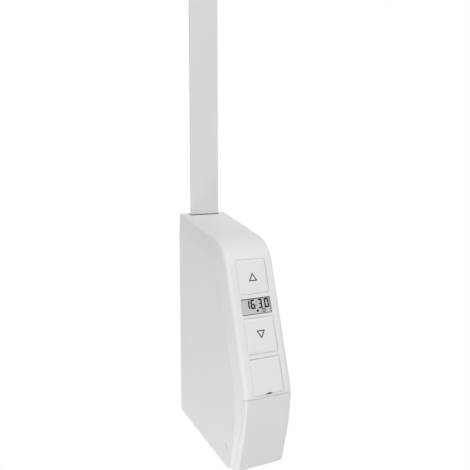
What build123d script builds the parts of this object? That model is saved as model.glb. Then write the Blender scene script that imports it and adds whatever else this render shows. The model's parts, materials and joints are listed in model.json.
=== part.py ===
from build123d import *
from math import acos, atan, atan2, cos, degrees, pi, radians, sin, sqrt, tan
import os

# Electric belt winder for a roller shutter, screwed to the wall beside the window.
# Millimetres. +X is right, +Y goes into the wall, +Z is up. The origin lies on the wall,
# midway between the two wall screws. Most sketches are drawn in the side view, as depth
# from the wall and height above the housing's bottom.

os.makedirs("parts", exist_ok=True)

# Wall fixing
fixing_height = 90.0        # origin above the housing's bottom
fixing_spacing = 120.0
fixing_hole_radius = 2.2
fixing_head_radius = 3.6

# Housing outside
wall = 2.0
half_width = 19.3           # at the flat part of the sides
edge_half_width = 18.6      # at the top's side edges, beside the wall
edge_taper = 0.024          # those edges close in by this much per mm of depth
housing_height = 160.3
top_slope = radians(8.7)
front_lean = radians(19.44)
seam_height = 55.3          # start of the sloping front, where its measures begin
seam_depth = 113.9
joint_drop = 1.0            # from there down to the joint with the cover, at the sides
joint_rise = 0.55           # and how far that joint arches up in the middle
front_round = 3.9           # rounding of those edges along the front
top_round = 1.7             # along the top
cover_round = 1.0           # and on the cover
round_at_wall = 0.15        # share of its width that is left at the wall
round_lean = 0.33           # lean of the sides beside the front, per mm behind the edge
round_steps = 6
cover_depth = 3.2
cover_gap = 0.2             # along the arched joint
cover_side_gap = 0.06       # and up the sides

# Front panel, measured up the sloping front from the seam
panel_width = 21.4
panel_gap = 0.12
flap_low, flap_high = 1.5, 23.7
down_low, down_high = 26.6, 49.1
display_low, display_high = 51.2, 61.8
up_low, up_high = 64.5, 87.2
bevel_run = 1.7
bevel_drop = 0.35
key_corner = 1.2
key_face_corner = 0.6
pocket_wall = 1.1           # front wall left in front of the display
pocket_margin = 0.9
notch_radius = 5.6          # ball that cuts the fingernail notch below the flap
notch_up = 5.5
notch_out = 1.8
lift_radius = 4.5           # arch cut in the flap's lower edge above the notch
lift_height = 0.9

# Up and down keys
key_thickness = 1.8
key_lip_height = 0.9
key_lip_depth = 2.7
key_lip_thickness = 0.8
key_skirt_inset = 0.6
key_stem_radius = 2.0

# Flap and its hinge
flap_thickness = 1.6
hinge_radius = 0.8
hinge_depth = 1.0
hinge_bevel = 1.4
hinge_pin_radius = 0.5
hinge_pin_length = 1.2
hinge_fit = 0.05

# Tray behind the flap and its three setting keys
tray_rim = (4.2, 24.8)
tray_rim_half = 12.6
tray_rim_thickness = 1.0
tray_floor_depth = 4.4
tray_floor = 1.2
tray_wall = 1.0
tray_ledge = 0.9
tray_foot = 2.0             # the recess starts this far above the flap's lower edge
tray_gap = 0.05
tray_leg_radius = 1.2
tray_legs = (8.2, (4.6, 20.6))
setting_key_radius = 1.9
setting_key_flange = 2.6
setting_key_spacing = 6.6
setting_key_up = 12.6
setting_key_proud = 1.0
setting_key_gap = 0.15

# Circuit board behind the front
board_depth = 10.5
board_thickness = 1.6
board_half_width = 14.6
board_low, board_high = 3.0, 86.0
boss_radius = 1.5
boss_root = 1.0
boss_across = 13.0
boss_ups = (26.85, 63.0)
board_screw_radius = 0.8
board_screw_length = 5.0
board_screw_head = 1.7
board_screw_cap = 1.2
switch_size = 6.0
switch_height = 3.4
plunger_radius = 1.7
plunger_proud = 1.0
plunger_sunk = 0.8
plunger_bore_depth = 2.1
glass_thickness = 1.6
glass_gap = 0.1
holder_wall = 1.2
chip_size = 10.0
chip_height = 1.2
chip_up = 42.0
socket_length, socket_width, socket_height = 12.0, 4.0, 3.0
socket_across = 7.0
socket_up = 82.0
ribbon_width = 10.0
ribbon_thickness = 0.4
ribbon_radius = 1.2

# Fits shared by the mechanism
running_fit = 0.05
seat_fit = 0.02
screw_radius = 1.45
screw_fit = 0.05

# Wall plate and cheeks
plate_thickness = 2.5
plate_low = 6.0
plate_shoulder = 141.0
plate_high = 157.6
plate_top_half = 16.3
plate_skin = 0.4
cheek_thickness = 1.6
cheek_gap = 0.3             # between a cheek and the housing's side
cheek_outline = (
    (2.5, 8), (8, 5), (86, 5), (94, 13), (97, 40), (98, 56),
    (94, 68), (72, 122), (63, 134), (20, 134), (14, 140), (2.5, 140),
)
cheek_corner_radius = 1.5
flange_heights = (27.0, 124.0)
flange_half_height = 6.0
flange_reach = 6.0
flange_screw_across = 12.0
flange_screw_head = 2.3
flange_screw_cap = 1.2
post_radius = 2.5
post_places = ((26.0, 100.0), (83.0, 92.0), (80.0, 9.5))
post_screw_head = 2.8
post_screw_cone = 1.35
post_screw_length = 7.5
pin_inset = 0.1
catch_depth, catch_height = 90.5, 15.6
catch_radius = 1.8
catch_reach = 0.5
catch_gap = 0.2
dimple_radius = 2.2
dimple_sink = 0.2

# Belt
belt_width = 23.0
belt_thickness = 1.2
belt_depth = 5.0            # middle of the belt where it leaves the housing
belt_top = 340.0
coil_radius = 33.0
coil_gap = 0.3
belt_overlap = 25.0         # degrees of the belt's run that lie along the coil
slot_half = 11.9
slot_back, slot_front = 3.4, 6.6
brush_gap = 0.15
brush_foot = 2.0
brush_tip_drop = 1.1        # below the top of the housing's back

# Drum
drum_depth, drum_height = 52.0, 52.0
drum_core_radius = 14.0
drum_zone = 12.0            # half the drum's width between its flanges
drum_flange_radius = 41.5
drum_flange_thickness = 1.4
drum_spigot_radius = 9.0
drum_boss_radius = 5.5
drum_end = 15.1
drum_gear_width = 3.1
axle_radius = 3.0
belt_pin_radius = 1.5
belt_pin_offset = 11.2
magnet_inner, magnet_outer, magnet_thickness = 6.0, 9.0, 1.0
sensor_up = 7.5
sensor_size = 4.0
sensor_thickness = 0.7

# Gears
gear_module = 1.0
drum_teeth = 88
pinion_teeth = 16
wheel_teeth = 22
pressure_angle = radians(20)
root_depth = 1.25
backlash = 0.16
mesh_slack = 0.1
wheel_depth = 68.0
wheel_width = 7.0
wheel_hub_radius = 4.0
pinion_width = 3.5
idler_pin_radius = 2.0
worm_pitch_radius = 4.5
worm_root_drop = 1.2
worm_turns = 5
worm_back, worm_front = 57.6, 77.4

# Motor
motor_shaft_radius = 1.15
motor_shaft_back = 50.0
motor_radius = 13.8
motor_front = 55.0
motor_back = 23.0
motor_cap_back = 13.5
motor_cap_radius = 13.2
motor_boss_radius = 3.0
bracket_thickness = 2.0
bracket_drop, bracket_rise = 9.0, 12.0
bracket_tab_half = 3.0
bracket_fit = 0.1
motor_screw_across = 8.0
motor_screw_radius = 1.0
motor_screw_head = 1.7
motor_screw_cap = 1.3
motor_screw_depth = 4.0
lead_radius = 0.6
lead_across, lead_depth = 7.0, 22.0

# Guide roller
roller_radius = 5.0
roller_flange_radius = 6.2
roller_flange = 0.8
roller_half = 12.6
roller_height = 136.0
roller_pin_radius = 1.5

# Power board on top of the cheeks
power_board_height = 134.0
power_board_back, power_board_front = 20.5, 60.0
board_tab_depths = (30.0, 52.0)
board_tab_half = 2.0
board_tab_fit = 0.15
transformer_half, transformer_depths, transformer_height = 8.0, (22.0, 38.0), 10.4
relay_across, relay_depths, relay_height = (0.75, 13.25), (39.5, 47.0), 10.0
capacitor_radius, capacitor_height = 4.5, 12.0
capacitor_across, capacitor_depth = -9.0, 54.0
power_socket_depths = (50.0, 54.0)

# Mains connection
grommet_across, grommet_depth = 8.0, 8.6
grommet_bore = 3.4
grommet_radius = 4.5
grommet_flange_radius = 5.5
grommet_flange = 1.2
terminal_across = (-15.2, -0.8)
terminal_depths = (2.5, 16.5)
terminal_heights = (4.0, 19.0)
terminal_ways = 3
terminal_screw_radius = 1.7
terminal_entry_radius = 1.4
terminal_entry_depth = 8.0
clamp_across = (1.2, 14.8)
clamp_heights = (8.5, 13.5)
clamp_back, clamp_thickness = 12.3, 2.0
clamp_posts = (2.6, 13.4)
clamp_post_radius = 1.9
clamp_screw_radius = 1.0
clamp_screw_depth = 6.0
clamp_screw_head = 1.7
clamp_screw_cap = 1.4
supply_lead_across = (-15.3, -14.4)
supply_lead_width = 1.6
supply_lead_depth = 5.8

# Cover's fastening
clip_across = 13.2
clip_thickness = 1.2
clip_back, clip_front = seam_depth - 16.9, seam_depth - 5.4
clip_heights = (28.0, 38.0)
tongue_half = 6.0
tongue_back, tongue_front = 87.0, seam_depth - 14.0
tongue_low, tongue_high = 3.0, 4.6
tongue_gap = 0.1
cover_screw_depth = 91.0
cover_screw_boss = 3.0
cover_screw_top = 7.0
cover_screw_radius = 1.25
cover_screw_head = 2.4
cover_screw_cone = 1.15

# Sizes that follow from the ones above
inner_half = half_width - wall
joint_height = seam_height - joint_drop
brush_tip = housing_height - brush_tip_drop
cheek_outer = inner_half - cheek_gap
cheek_inner = cheek_outer - cheek_thickness
pin_end = cheek_outer - pin_inset
mesh_distance = gear_module * (drum_teeth + pinion_teeth) / 2 + mesh_slack
wheel_height = drum_height + sqrt(mesh_distance**2 - (wheel_depth - drum_depth) ** 2)
wheel_radius = gear_module * wheel_teeth / 2
worm_height = wheel_height + wheel_radius + worm_pitch_radius + mesh_slack
roller_reach = roller_radius + running_fit + belt_thickness / 2
roller_depth = belt_depth + roller_reach
panel_half = panel_width / 2
opening_half = panel_half + panel_gap
board_back = board_depth + board_thickness
switch_depth = board_depth - switch_height
plunger_depth = switch_depth - plunger_proud
hinge_up = flap_high - hinge_radius
clamp_front = clamp_back + clamp_thickness
clamp_middle = sum(clamp_heights) / 2


def side(x):
    """Plane across the housing at x, drawn as depth and height. Extrudes towards -X."""
    return Plane(origin=(x, 0, -fixing_height), x_dir=(0, -1, 0), z_dir=(-1, 0, 0))


def front(depth):
    """Plane this far behind the sloping front, drawn as x and distance up from the seam."""
    away, rise = cos(front_lean), sin(front_lean)
    origin = (0, depth * away - seam_depth, seam_height - depth * rise - fixing_height)
    return Plane(origin=origin, x_dir=(1, 0, 0), z_dir=(0, -away, rise))


def panel_point(up, depth):
    """Place in the side view of a point up the sloping front and behind it."""
    away, rise = cos(front_lean), sin(front_lean)
    return seam_depth - up * rise - depth * away, seam_height + up * away - depth * rise


def level(height):
    """Level plane at a height above the housing's bottom, drawn as x and y."""
    return Plane.XY.offset(height - fixing_height)


def upright(depth):
    """Plane parallel to the wall, drawn as x and height. Extrudes into the room."""
    return Plane(origin=(0, -depth, -fixing_height), x_dir=(1, 0, 0), z_dir=(0, -1, 0))


def mirrored(across, sign):
    """The same stretch across the housing, on the right or on the left."""
    return across if sign > 0 else (-across[1], -across[0])


def block(across, depths, heights, mode=Mode.ADD):
    """Box between two places across, two depths and two heights."""
    with BuildSketch(side(across[1])) as end:
        with Locations((sum(depths) / 2, sum(heights) / 2)):
            Rectangle(depths[1] - depths[0], heights[1] - heights[0])
    extrude(end.sketch, amount=across[1] - across[0], mode=mode)


def rod(radius, across, depth, height, mode=Mode.ADD):
    """Round bar along X."""
    with BuildSketch(side(across[1])) as end:
        with Locations((depth, height)):
            Circle(radius)
    extrude(end.sketch, amount=across[1] - across[0], mode=mode)


def forward_rod(radius, depths, x, height, mode=Mode.ADD):
    """Round bar square to the wall."""
    with BuildSketch(upright(depths[0])) as end:
        with Locations((x, height)):
            Circle(radius)
    extrude(end.sketch, amount=depths[1] - depths[0], mode=mode)


def upright_rod(radius, heights, x, depth, mode=Mode.ADD):
    """Round vertical bar."""
    with BuildSketch(level(heights[0])) as end:
        with Locations((x, -depth)):
            Circle(radius)
    extrude(end.sketch, amount=heights[1] - heights[0], mode=mode)


def panel_block(half, low, high, near, far, x=0, mode=Mode.ADD, corner=0):
    """Box between two depths behind the sloping front, with rounded corners if wanted."""
    with BuildSketch(front(far)) as end:
        with Locations((x, (low + high) / 2)):
            Rectangle(2 * half, high - low)
        if corner:
            fillet(end.vertices(), corner)
    extrude(end.sketch, amount=far - near, mode=mode)


def panel_rod(radius, near, far, x, up, mode=Mode.ADD):
    """Round bar square to the sloping front."""
    with BuildSketch(front(far)) as end:
        with Locations((x, up)):
            Circle(radius)
    extrude(end.sketch, amount=far - near, mode=mode)


def save(piece, name):
    """Label a finished piece and write its file."""
    piece.label = name
    export_step(piece, f"parts/{name}.step")


# Housing body: a ruled loft from one flat side over the two sloping edges to the other side


def heading(below):
    """Unit direction in the side view, turned down from straight ahead."""
    return Vector(cos(below), -sin(below))


def crossing(first, second):
    (start, way), (other, other_way) = first, second
    along = (other - start).cross(other_way).Z / way.cross(other_way).Z
    return start + way * along


def inward(line, by):
    start, way = line
    return start + Vector(way.Y, -way.X) * by, way


edge_lines = (
    (Vector(0, housing_height), heading(top_slope)),
    (Vector(seam_depth, seam_height), heading(radians(90) - front_lean)),
    (Vector(seam_depth - 1.9, seam_height - 9.3), heading(radians(98))),
    (Vector(seam_depth - 7.3, seam_height - 35.3), heading(radians(106.5))),
    (Vector(0, 0), Vector(-1, 0)),
    (Vector(0, 0), Vector(0, 1)),
)
edge_radii = (0, 25, 10, 100, 6, 5)
side_lines = (
    (Vector(0, housing_height - 15.9), heading(radians(6.9))),
    (Vector(seam_depth - 40.6, seam_height + 74.2), heading(radians(68.2))),
    (Vector(seam_depth - 11.4, seam_height - 5.3), heading(radians(94))),
    (Vector(seam_depth - 14.4, seam_height - 35.3), heading(radians(104))),
    (Vector(0, 0), Vector(-1, 0)),
    (Vector(0, 0), Vector(0, 1)),
)
side_radii = (0, 9, 20, 100, 6, 5)


def edge_plane(sign, shift, wall_shift):
    """Plane through a sloping edge, moved towards the middle at the front and at the wall."""
    taper = edge_taper + (shift - wall_shift) / seam_depth
    return Plane(
        origin=(sign * (edge_half_width - wall_shift), 0, -fixing_height),
        x_dir=(-sign * taper, -1, 0),
        z_dir=(-1, sign * taper, 0),
    )


def section(plane, lines, radii, insets):
    """Closed outline in the side view, with each line moved in by its own amount."""
    moved = [inward(line, by) for line, by in zip(lines, insets)]
    corners = [crossing(moved[i - 1], moved[i]) for i in range(len(moved))]
    rounds = [max(radius - by, 0.5) if radius else 0 for radius, by in zip(radii, insets)]
    with BuildSketch(plane) as face:
        with BuildLine():
            FilletPolyline(*corners, radius=rounds, close=True)
        make_face()
    return face.sketch


def edge_rounding(radius):
    """Steps over a rounded edge, each a shift towards the middle and an inset."""
    turn = radians(90) - atan(round_lean)
    run = radius * tan(turn / 2)
    for step in range(round_steps + 1):
        angle = turn * step / round_steps
        yield run - radius * sin(angle), radius * (1 - cos(angle))


def outer_sections(sign, radius):
    """Sections of the housing from one flat side over its rounded edge."""
    sections = [section(side(sign * half_width), side_lines, side_radii, [0] * 6)]
    for shift, inset in reversed(list(edge_rounding(radius))):
        insets = [inset * top_round / front_round, inset, inset, inset, 0, 0]
        plane = edge_plane(sign, shift, shift * round_at_wall)
        sections.append(section(plane, edge_lines, edge_radii, insets))
    return sections


def inner_sections(sign):
    """Sections of the space inside the walls, open to the back."""
    insets = [wall] * 5 + [-1]
    return [
        section(side(sign * (half_width - wall)), side_lines, side_radii, insets),
        section(edge_plane(sign, wall, wall), edge_lines, edge_radii, insets),
    ]


with BuildPart() as hood_body:
    loft(outer_sections(1, front_round) + outer_sections(-1, front_round)[::-1], ruled=True)
with BuildPart() as cover_body:
    loft(outer_sections(1, cover_round) + outer_sections(-1, cover_round)[::-1], ruled=True)
with BuildPart() as cavity:
    loft(inner_sections(1) + inner_sections(-1)[::-1], ruled=True)


def cover_region(gap, side_gap):
    """Space in front of the cover's joint line and below the arched seam."""
    moved = [inward(line, cover_depth + side_gap) for line in edge_lines[1:4]]
    floor_line = (Vector(0, -5), Vector(1, 0))
    top_line = (Vector(0, seam_height + 5), Vector(1, 0))
    inner = [
        crossing(top_line, moved[1]),
        crossing(moved[1], moved[2]),
        crossing(moved[2], floor_line),
    ]
    far = 2 * seam_depth
    with BuildPart() as region:
        with BuildSketch(side(half_width + 1)):
            with BuildLine():
                Polyline(*inner, (far, -5), (far, seam_height + 5), close=True)
            make_face()
        extrude(amount=2 * half_width + 2)
        with BuildSketch(upright(0)):
            with BuildLine():
                arch = ThreePointArc(
                    (-half_width - 1, joint_height + gap),
                    (0, joint_height + joint_rise + gap),
                    (half_width + 1, joint_height + gap),
                )
                Polyline(arch @ 1, (half_width + 1, -5), (-half_width - 1, -5), arch @ 0)
            make_face()
        extrude(amount=far, mode=Mode.INTERSECT)
    return region.part


# Hood, with windows, board bosses, hinge bearings and the belt's slot

with BuildPart() as board_bosses:
    for up in boss_ups:
        for x in (-boss_across, boss_across):
            panel_rod(boss_radius, boss_root, board_depth, x, up)
    add(hood_body.part, mode=Mode.INTERSECT)

with BuildPart() as hood:
    add(hood_body.part)
    add(cavity.part, mode=Mode.SUBTRACT)
    add(cover_region(cover_gap, cover_side_gap), mode=Mode.SUBTRACT)
    add(board_bosses.part)
    for low, high, corner in (
        (flap_low, flap_high, 0),
        (down_low, down_high, key_corner + panel_gap),
        (up_low, up_high, key_corner + panel_gap),
    ):
        panel_block(
            opening_half, low - panel_gap, high + panel_gap, -3, wall + 1,
            mode=Mode.SUBTRACT, corner=corner,
        )
    panel_block(panel_half, display_low, display_high, -3, wall + 1, mode=Mode.SUBTRACT)
    panel_block(
        panel_half + pocket_margin, display_low - pocket_margin,
        display_high + pocket_margin, pocket_wall, wall + 1, mode=Mode.SUBTRACT,
    )
    for up in boss_ups:
        for x in (-boss_across, boss_across):
            panel_rod(
                board_screw_radius + screw_fit, board_depth - board_screw_length - 0.3,
                board_depth, x, up, mode=Mode.SUBTRACT,
            )
    bearing_reach = panel_half + hinge_pin_length + 2 * hinge_fit
    rod(
        hinge_pin_radius + hinge_fit, (-bearing_reach, bearing_reach),
        *panel_point(hinge_up, hinge_depth), mode=Mode.SUBTRACT,
    )
    with Locations(front(-notch_out)):
        with Locations((0, notch_up, 0)):
            Sphere(notch_radius, mode=Mode.SUBTRACT)
    block(
        (-slot_half, slot_half), (slot_back, slot_front),
        (housing_height - 4 * wall, housing_height + wall), mode=Mode.SUBTRACT,
    )
    # notch for the cable grommet, open towards the wall
    upright_rod(
        grommet_radius + screw_fit, (-1, wall + 1), grommet_across, grommet_depth,
        mode=Mode.SUBTRACT,
    )
    block(
        (grommet_across - grommet_radius, grommet_across + grommet_radius),
        (-1, grommet_depth), (-1, wall + 1), mode=Mode.SUBTRACT,
    )
    # hole for the cover's screw
    upright_rod(
        cover_screw_radius + screw_fit, (-1, wall + 1), 0, cover_screw_depth,
        mode=Mode.SUBTRACT,
    )
    with Locations((0, -cover_screw_depth, -fixing_height)):
        Cone(
            cover_screw_head + screw_fit, cover_screw_radius + screw_fit, cover_screw_cone,
            align=(Align.CENTER, Align.CENTER, Align.MIN), mode=Mode.SUBTRACT,
        )
    # dimples outside and catches inside, low on both sides
    for sign in (-1, 1):
        catch = (inner_half - catch_reach, inner_half + wall / 2)
        rod(catch_radius, mirrored(catch, sign), catch_depth, catch_height)
        dimple = (half_width - dimple_sink, half_width + wall)
        rod(dimple_radius, mirrored(dimple, sign), catch_depth, catch_height, Mode.SUBTRACT)
save(hood.part, "hood")

# Cover of the belt compartment: clips at the sides, a screwed tongue at the bottom

with BuildPart() as lower_cover:
    add(cover_body.part)
    add(cover_region(0, 0), mode=Mode.INTERSECT)
    add(cavity.part, mode=Mode.SUBTRACT)
    for sign in (-1, 1):
        clip = (clip_across - clip_thickness / 2, clip_across + clip_thickness / 2)
        block(mirrored(clip, sign), (clip_back, clip_front), clip_heights)
    block(
        (-tongue_half, tongue_half), (tongue_back, tongue_front), (tongue_low, tongue_high)
    )
    upright_rod(
        cover_screw_boss, (wall + tongue_gap, cover_screw_top), 0, cover_screw_depth
    )
    upright_rod(
        cover_screw_radius + screw_fit, (0, cover_screw_top + 1), 0, cover_screw_depth,
        mode=Mode.SUBTRACT,
    )
save(lower_cover.part, "lower_cover")

with BuildPart() as cover_screw:
    upright_rod(cover_screw_radius, (0, cover_screw_top), 0, cover_screw_depth)
    with Locations((0, -cover_screw_depth, -fixing_height)):
        Cone(
            cover_screw_head, cover_screw_radius, cover_screw_cone,
            align=(Align.CENTER, Align.CENTER, Align.MIN),
        )
save(cover_screw.part, "cover_screw")

# Wall plate, with the posts of the cable clamp

with BuildPart() as wall_plate:
    with BuildSketch(upright(0)):
        with BuildLine():
            Polyline(
                (-cheek_outer, plate_low), (cheek_outer, plate_low),
                (cheek_outer, plate_shoulder), (plate_top_half, plate_high),
                (-plate_top_half, plate_high), (-cheek_outer, plate_shoulder),
                close=True,
            )
        make_face()
    extrude(amount=plate_thickness)
    with Locations(Plane(origin=(0, -plate_thickness, 0), x_dir=(1, 0, 0), z_dir=(0, -1, 0))):
        with GridLocations(1, fixing_spacing, 1, 2):
            CounterSinkHole(fixing_hole_radius, fixing_head_radius, 2 * plate_thickness)
    for x in (-flange_screw_across, flange_screw_across):
        for height in flange_heights:
            forward_rod(
                screw_radius + screw_fit, (plate_skin, plate_thickness + 1), x, height,
                mode=Mode.SUBTRACT,
            )
    for x in clamp_posts:
        forward_rod(clamp_post_radius, (plate_thickness, clamp_back), x, clamp_middle)
        forward_rod(
            clamp_screw_radius + screw_fit, (clamp_back - clamp_screw_depth, clamp_back),
            x, clamp_middle, mode=Mode.SUBTRACT,
        )
save(wall_plate.part, "wall_plate")

# Two cheeks that carry the mechanism, with their posts and screws


def screw_cone(sign, depth, height, grow, mode=Mode.ADD):
    """Head of a countersunk screw, flush with the cheek's outer face."""
    face = Plane(
        origin=(sign * cheek_outer, -depth, height - fixing_height), z_dir=(-sign, 0, 0)
    )
    with Locations(face):
        Cone(
            post_screw_head + grow, screw_radius + grow, post_screw_cone,
            align=(Align.CENTER, Align.CENTER, Align.MIN), mode=mode,
        )


def cheek(sign):
    """One cheek, with its two flanges on the wall plate and two tabs for the board."""
    through = mirrored((cheek_inner - 1, cheek_outer + 1), sign)
    with BuildPart() as part:
        with BuildSketch(side(mirrored((cheek_inner, cheek_outer), sign)[1])) as outline:
            with BuildLine():
                Polyline(*cheek_outline, close=True)
            make_face()
            fillet(outline.vertices(), cheek_corner_radius)
        extrude(amount=cheek_thickness)
        for height in flange_heights:
            block(
                mirrored((cheek_inner - flange_reach, cheek_outer), sign),
                (plate_thickness, plate_thickness + cheek_thickness),
                (height - flange_half_height, height + flange_half_height),
            )
            forward_rod(
                screw_radius + screw_fit, (0, 2 * plate_thickness),
                sign * flange_screw_across, height, mode=Mode.SUBTRACT,
            )
        for depth in board_tab_depths:
            block(
                mirrored((cheek_inner, cheek_outer), sign),
                (depth - board_tab_half, depth + board_tab_half),
                (power_board_height - 1, power_board_height + 1.5 * board_thickness),
            )
        for radius, depth, height in (
            (axle_radius + seat_fit, drum_depth, drum_height),
            (idler_pin_radius + seat_fit, wheel_depth, wheel_height),
            (roller_pin_radius + seat_fit, roller_depth, roller_height),
            (catch_radius + catch_gap, catch_depth, catch_height),
        ):
            rod(radius, through, depth, height, mode=Mode.SUBTRACT)
        for depth, height in post_places:
            rod(screw_radius + screw_fit, through, depth, height, mode=Mode.SUBTRACT)
            screw_cone(sign, depth, height, screw_fit, mode=Mode.SUBTRACT)
        slot = bracket_tab_half + bracket_fit
        block(
            through, (motor_front, motor_front + bracket_thickness),
            (worm_height - slot, worm_height + slot), mode=Mode.SUBTRACT,
        )
    return part.part


save(cheek(-1), "left_cheek")
save(cheek(1), "right_cheek")

with BuildPart() as frame_posts:
    for depth, height in post_places:
        rod(post_radius, (-cheek_inner, cheek_inner), depth, height)
        for sign in (-1, 1):
            bored = (cheek_outer - post_screw_length - 0.4, cheek_inner)
            rod(screw_radius + screw_fit, mirrored(bored, sign), depth, height, Mode.SUBTRACT)
save(frame_posts.part, "frame_posts")

with BuildPart() as post_screws:
    for depth, height in post_places:
        for sign in (-1, 1):
            shank = (cheek_outer - post_screw_length, cheek_outer)
            rod(screw_radius, mirrored(shank, sign), depth, height)
            screw_cone(sign, depth, height, 0)
save(post_screws.part, "post_screws")

with BuildPart() as flange_screws:
    for x in (-flange_screw_across, flange_screw_across):
        for height in flange_heights:
            seat = plate_thickness + cheek_thickness
            forward_rod(screw_radius, (plate_skin + 0.1, seat), x, height)
            forward_rod(flange_screw_head, (seat, seat + flange_screw_cap), x, height)
save(flange_screws.part, "flange_screws")

for name, radius, depth, height in (
    ("drum_axle", axle_radius, drum_depth, drum_height),
    ("idler_pin", idler_pin_radius, wheel_depth, wheel_height),
    ("roller_pin", roller_pin_radius, roller_depth, roller_height),
):
    with BuildPart() as pin:
        rod(radius, (-pin_end, pin_end), depth, height)
    save(pin.part, name)

# Toothed wheels


def tooth_half_angle(radius, pitch_radius):
    """Half the angle that a tooth takes up at this radius."""
    base = pitch_radius * cos(pressure_angle)
    half = (pi * gear_module / 2 - backlash) / (2 * pitch_radius)
    turned = acos(base / max(radius, base))
    return half + tan(pressure_angle) - pressure_angle - tan(turned) + turned


def gear_face(teeth, centre, start):
    """Toothed outline in the side view, with one tooth centred at the start angle."""
    pitch_radius = gear_module * teeth / 2
    root, tip = pitch_radius - root_depth * gear_module, pitch_radius + gear_module
    flank = [(r, tooth_half_angle(r, pitch_radius)) for r in (root, (root + tip) / 2, tip)]

    def place(radius, angle):
        return centre[0] + radius * cos(angle), centre[1] + radius * sin(angle)

    with BuildLine() as outline:
        for tooth in range(teeth):
            middle = start + 2 * pi * tooth / teeth
            rising = [place(r, middle - half) for r, half in flank]
            falling = [place(r, middle + half) for r, half in reversed(flank)]
            ThreePointArc(*rising)
            Line(rising[-1], falling[0])
            ThreePointArc(*falling)
            Line(falling[-1], place(root, middle + 2 * pi / teeth - flank[0][1]))
    make_face(outline.edges())


mesh_angle = atan2(wheel_height - drum_height, wheel_depth - drum_depth)
drum_centre = (drum_depth, drum_height)
wheel_centre = (wheel_depth, wheel_height)

# Belt drum with its toothed rim, right-hand flange, coil of belt and magnet ring

with BuildPart() as winding_drum:
    with BuildSketch(side(-drum_zone)):
        gear_face(drum_teeth, drum_centre, mesh_angle)
    extrude(amount=drum_gear_width)
    rod(drum_core_radius, (-drum_zone, drum_zone), *drum_centre)
    rod(drum_spigot_radius, (drum_zone, drum_zone + drum_flange_thickness), *drum_centre)
    rod(drum_boss_radius, (drum_zone, drum_end), *drum_centre)
    rod(axle_radius + running_fit, (-half_width, half_width), *drum_centre, Mode.SUBTRACT)
    rod(
        belt_pin_radius + seat_fit, (-half_width, drum_zone),
        drum_depth, drum_height + belt_pin_offset, Mode.SUBTRACT,
    )
save(winding_drum.part, "winding_drum")

with BuildPart() as belt_pin:
    rod(
        belt_pin_radius, (-drum_zone - drum_gear_width, drum_zone),
        drum_depth, drum_height + belt_pin_offset,
    )
save(belt_pin.part, "belt_pin")

with BuildPart() as drum_flange:
    rod(drum_flange_radius, (drum_zone, drum_zone + drum_flange_thickness), *drum_centre)
    rod(drum_spigot_radius + seat_fit, (0, half_width), *drum_centre, Mode.SUBTRACT)
save(drum_flange.part, "drum_flange")

with BuildPart() as belt_coil:
    rod(coil_radius, (-belt_width / 2, belt_width / 2), *drum_centre)
    rod(drum_core_radius + seat_fit, (-half_width, half_width), *drum_centre, Mode.SUBTRACT)
save(belt_coil.part, "belt_coil")

with BuildPart() as magnet_ring:
    magnet_left = drum_zone + drum_flange_thickness
    rod(magnet_outer, (magnet_left, magnet_left + magnet_thickness), *drum_centre)
    rod(magnet_inner, (0, half_width), *drum_centre, Mode.SUBTRACT)
save(magnet_ring.part, "magnet_ring")

with BuildPart() as hall_sensor:
    block(
        (cheek_inner - sensor_thickness, cheek_inner),
        (drum_depth - sensor_size / 2, drum_depth + sensor_size / 2),
        (drum_height + sensor_up - sensor_size / 2, drum_height + sensor_up + sensor_size / 2),
    )
save(hall_sensor.part, "hall_sensor")

# Worm wheel with its hub, and the pinion pressed on that hub

wheel_twist = 1 / (2 * worm_pitch_radius * wheel_radius)

with BuildPart() as worm_wheel:
    for x in (wheel_width / 2, -wheel_width / 2):
        with BuildSketch(side(x)):
            gear_face(wheel_teeth, wheel_centre, pi / 2 - wheel_twist * x)
    loft(ruled=True)
    rod(wheel_hub_radius, (-drum_end, drum_end), *wheel_centre)
    rod(idler_pin_radius + running_fit, (-half_width, half_width), *wheel_centre, Mode.SUBTRACT)
save(worm_wheel.part, "worm_wheel")

with BuildPart() as pinion:
    with BuildSketch(side(-drum_end + pinion_width)):
        gear_face(pinion_teeth, wheel_centre, mesh_angle + pi + pi / pinion_teeth)
    extrude(amount=pinion_width)
    rod(wheel_hub_radius + seat_fit, (-half_width, half_width), *wheel_centre, Mode.SUBTRACT)
save(pinion.part, "pinion")

# Worm on the motor's shaft: its thread starts half-way between two teeth of the wheel

worm_pitch = pi * gear_module
thread_back = wheel_depth - worm_turns * worm_pitch / 2
worm_root = worm_pitch_radius - worm_root_drop * gear_module


def thread_half(out):
    """Half the thread's thickness this far outside the pitch radius."""
    return (worm_pitch / 2 - backlash) / 2 - out * tan(pressure_angle)


with BuildPart() as worm:
    with BuildLine() as thread_path:
        Helix(
            pitch=worm_pitch,
            height=worm_turns * worm_pitch,
            radius=worm_pitch_radius,
            center=(0, -thread_back, worm_height - fixing_height),
            direction=(0, -1, 0),
        )
    start = thread_path.line @ 0
    with BuildSketch(Plane(origin=start, x_dir=(0, 0, -1), z_dir=thread_path.line % 0)):
        with BuildLine():
            Polyline(
                (-1.3 * worm_root_drop, -thread_half(-1.3 * worm_root_drop)),
                (gear_module, -thread_half(gear_module)),
                (gear_module, thread_half(gear_module)),
                (-1.3 * worm_root_drop, thread_half(-1.3 * worm_root_drop)),
                close=True,
            )
        make_face()
    sweep(path=thread_path.line, is_frenet=True)
    forward_rod(worm_root, (worm_back, worm_front), 0, worm_height)
    forward_rod(
        motor_shaft_radius + seat_fit, (worm_back, worm_front), 0, worm_height,
        mode=Mode.SUBTRACT,
    )
save(worm.part, "worm")

with BuildPart() as motor_shaft:
    forward_rod(motor_shaft_radius, (motor_shaft_back, worm_front), 0, worm_height)
save(motor_shaft.part, "motor_shaft")

# Motor, with its bracket between the cheeks

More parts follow.
